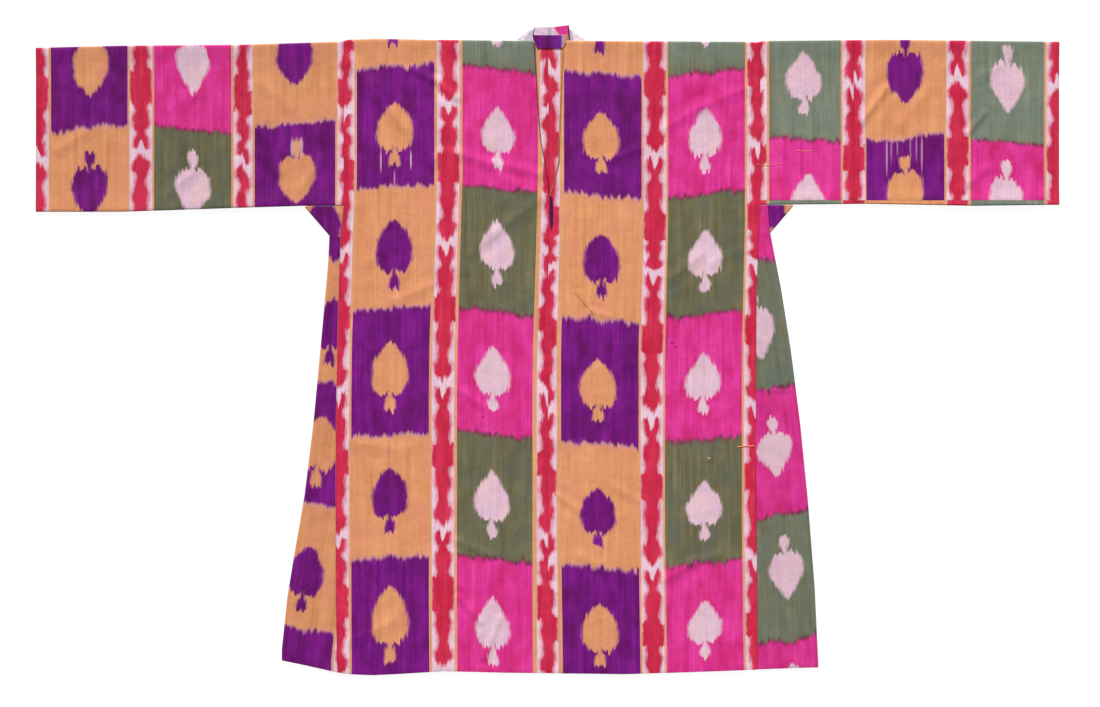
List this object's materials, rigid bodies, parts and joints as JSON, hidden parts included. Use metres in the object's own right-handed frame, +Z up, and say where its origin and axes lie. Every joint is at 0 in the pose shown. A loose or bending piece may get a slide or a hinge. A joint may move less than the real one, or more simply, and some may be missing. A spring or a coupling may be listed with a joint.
{
  "type": "ikat pull-on tunic",
  "caption": "Long loose T-shaped tunic of striped ikat cloth, laid flat, with straight sleeves, underarm gussets, flared side gores, a low stand collar and a neck slit.",
  "frame": {"origin": "centre of the garment's footprint, on the surface that it lies on", "axes": "+X from cuff to cuff, towards the picture's right; +Y from the hem to the neck; +Z up, out of the front"},
  "size_m": [1.7378, 1.1036, 0.0068],
  "materials": {
    "ikat_cloth": "silk and cotton ikat with a soft sheen",
    "collar_cloth": "pale lilac silk",
    "collar_facing_cloth": "purple silk",
    "dark_trim": "dark purple thread"
  },
  "bodies": {
    "root": {"left_body_panel": "ikat_cloth", "right_body_panel": "ikat_cloth", "left_sleeve_inner": "ikat_cloth", "left_sleeve_cuff": "ikat_cloth", "right_sleeve_inner": "ikat_cloth", "right_sleeve_cuff": "ikat_cloth", "left_gusset": "ikat_cloth", "right_gusset": "ikat_cloth", "left_gore": "ikat_cloth", "right_gore": "ikat_cloth", "collar_band": "collar_cloth", "collar_facing": "collar_facing_cloth", "left_collar_wing": "collar_cloth", "right_collar_wing": "collar_cloth", "left_slit_piping": "dark_trim", "right_slit_piping": "dark_trim", "slit_tack": "dark_trim"}
  },
  "joints": []
}
